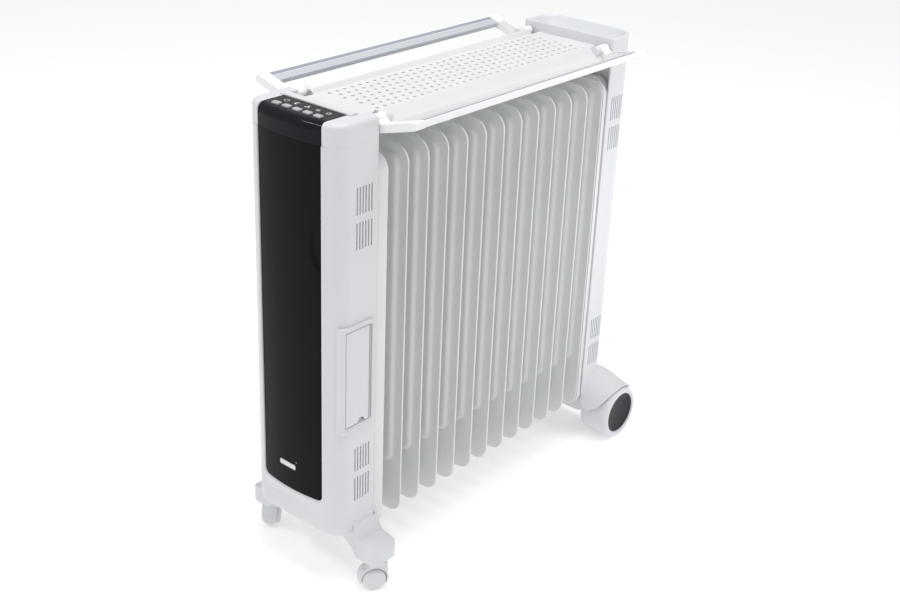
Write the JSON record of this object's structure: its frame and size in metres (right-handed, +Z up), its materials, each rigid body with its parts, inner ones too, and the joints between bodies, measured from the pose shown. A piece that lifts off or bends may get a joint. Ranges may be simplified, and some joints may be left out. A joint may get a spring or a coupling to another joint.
{
  "type": "oil filled radiator heater",
  "caption": "Upright oil filled finned radiator heater on castors and rear wheels, with touch-button head, perforated drying tray and folding side racks.",
  "frame": {"origin": "middle of the bounding box in X and Y, on the floor the wheels stand on", "axes": "+Z up; -Y towards the control panel end, +Y towards the large rear wheels; +X the right-hand side for someone facing the control panel"},
  "size_m": [0.2696, 0.6544, 0.656],
  "materials": {
    "white_plastic": "fine satin",
    "white_paint": "satin powder coat",
    "fin_paint": "satin warm grey",
    "gloss_black": "high gloss",
    "silver_badge": "brushed silver",
    "button_grey": "satin silver grey",
    "circuit_board": "solder mask",
    "component_black": "moulded",
    "black_rubber": "matt",
    "steel": "bright zinc",
    "rail_aluminium": "satin anodised",
    "white_wheel": "satin",
    "dark_hub": "satin charcoal",
    "castor_grey": "satin"
  },
  "bodies": {
    "heater": {"front_housing": "white_plastic", "front_heat_shield": "white_paint", "control_head": "white_plastic", "control_fascia": "gloss_black", "front_panel": "gloss_black", "panel_badge": "silver_badge", "control_board": "circuit_board", "power_board": "circuit_board", "thermal_cutout": "component_black", "tip_over_switch": "component_black", "cord_gland": "black_rubber", "compartment_box": "white_plastic", "door_hinge_pin": "steel", "front_end_plate": "white_paint", "rear_end_plate": "white_paint", "header_collars": "fin_paint", "heating_element": "steel", "filler_plug": "steel", "drying_tray": "white_paint", "rear_housing": "white_plastic", "rear_cap": "white_plastic", "rear_heat_shield": "white_paint", "rear_foot": "white_plastic", "rear_axle": "steel", "front_foot": "white_plastic", "foot_screws": "steel", "rack_pivot_pins": "steel", "fin_01": "fin_paint", "fin_02": "fin_paint", "fin_03": "fin_paint", "fin_04": "fin_paint", "fin_05": "fin_paint", "fin_06": "fin_paint", "fin_07": "fin_paint", "fin_08": "fin_paint", "fin_09": "fin_paint", "fin_10": "fin_paint", "fin_11": "fin_paint", "fin_12": "fin_paint", "fin_13": "fin_paint"},
    "timer_button": {"timer_button": "button_grey"},
    "sleep_button": {"sleep_button": "button_grey"},
    "fan_button": {"fan_button": "button_grey"},
    "heat_button": {"heat_button": "button_grey"},
    "power_button": {"power_button": "button_grey"},
    "compartment_door": {"compartment_door": "white_plastic"},
    "left_rack": {"left_rack_arms": "white_plastic", "left_rack_rail": "rail_aluminium"},
    "left_castor": {"left_castor_hood": "white_plastic"},
    "left_castor_wheel": {"left_castor_wheel": "castor_grey", "left_castor_axle": "steel"},
    "left_rear_wheel": {"left_rear_wheel": "white_wheel", "left_hub_disc": "dark_hub"},
    "right_rack": {"right_rack_arms": "white_plastic", "right_rack_rail": "rail_aluminium"},
    "right_castor": {"right_castor_hood": "white_plastic"},
    "right_castor_wheel": {"right_castor_wheel": "castor_grey", "right_castor_axle": "steel"},
    "right_rear_wheel": {"right_rear_wheel": "white_wheel", "right_hub_disc": "dark_hub"}
  },
  "joints": [
    {"name": "timer_press", "type": "slide", "parent": "heater", "child": "timer_button", "axis": [0, 0, -1], "range_m": [0, 0.0012], "stiffness_N_per_m": 300, "springref_m": -0.0008},
    {"name": "sleep_press", "type": "slide", "parent": "heater", "child": "sleep_button", "axis": [0, 0, -1], "range_m": [0, 0.0012], "stiffness_N_per_m": 300, "springref_m": -0.0008},
    {"name": "fan_press", "type": "slide", "parent": "heater", "child": "fan_button", "axis": [0, 0, -1], "range_m": [0, 0.0012], "stiffness_N_per_m": 300, "springref_m": -0.0008},
    {"name": "heat_press", "type": "slide", "parent": "heater", "child": "heat_button", "axis": [0, 0, -1], "range_m": [0, 0.0012], "stiffness_N_per_m": 300, "springref_m": -0.0008},
    {"name": "power_press", "type": "slide", "parent": "heater", "child": "power_button", "axis": [0, 0, -1], "range_m": [0, 0.0012], "stiffness_N_per_m": 300, "springref_m": -0.0008},
    {"name": "door_hinge", "type": "hinge", "parent": "heater", "child": "compartment_door", "pos_m": [0.0793, -0.2639, 0.317], "axis": [0, 0, 1], "range_deg": [0, 110]},
    {"name": "left_rack_fold", "type": "hinge", "parent": "heater", "child": "left_rack", "pos_m": [-0.068, 0, 0.641], "axis": [0, 1, 0], "range_deg": [0, 164]},
    {"name": "right_rack_fold", "type": "hinge", "parent": "heater", "child": "right_rack", "pos_m": [0.068, 0, 0.641], "axis": [0, -1, 0], "range_deg": [0, 164]},
    {"name": "left_castor_swivel", "type": "hinge", "parent": "heater", "child": "left_castor", "pos_m": [-0.104, -0.269, 0.05], "axis": [0, 0, 1], "continuous": true},
    {"name": "left_castor_roll", "type": "hinge", "parent": "left_castor", "child": "left_castor_wheel", "pos_m": [-0.10786, -0.2644, 0.0165], "axis": [0.766, 0.6428, 0], "continuous": true},
    {"name": "left_wheel_roll", "type": "hinge", "parent": "heater", "child": "left_rear_wheel", "pos_m": [-0.095, 0.284, 0.043], "axis": [1, 0, 0], "continuous": true},
    {"name": "right_castor_swivel", "type": "hinge", "parent": "heater", "child": "right_castor", "pos_m": [0.104, -0.269, 0.05], "axis": [0, 0, 1], "continuous": true},
    {"name": "right_castor_roll", "type": "hinge", "parent": "right_castor", "child": "right_castor_wheel", "pos_m": [0.10082, -0.27409, 0.0165], "axis": [-0.848, 0.5299, 0], "continuous": true},
    {"name": "right_wheel_roll", "type": "hinge", "parent": "heater", "child": "right_rear_wheel", "pos_m": [0.095, 0.284, 0.043], "axis": [1, 0, 0], "continuous": true}
  ]
}
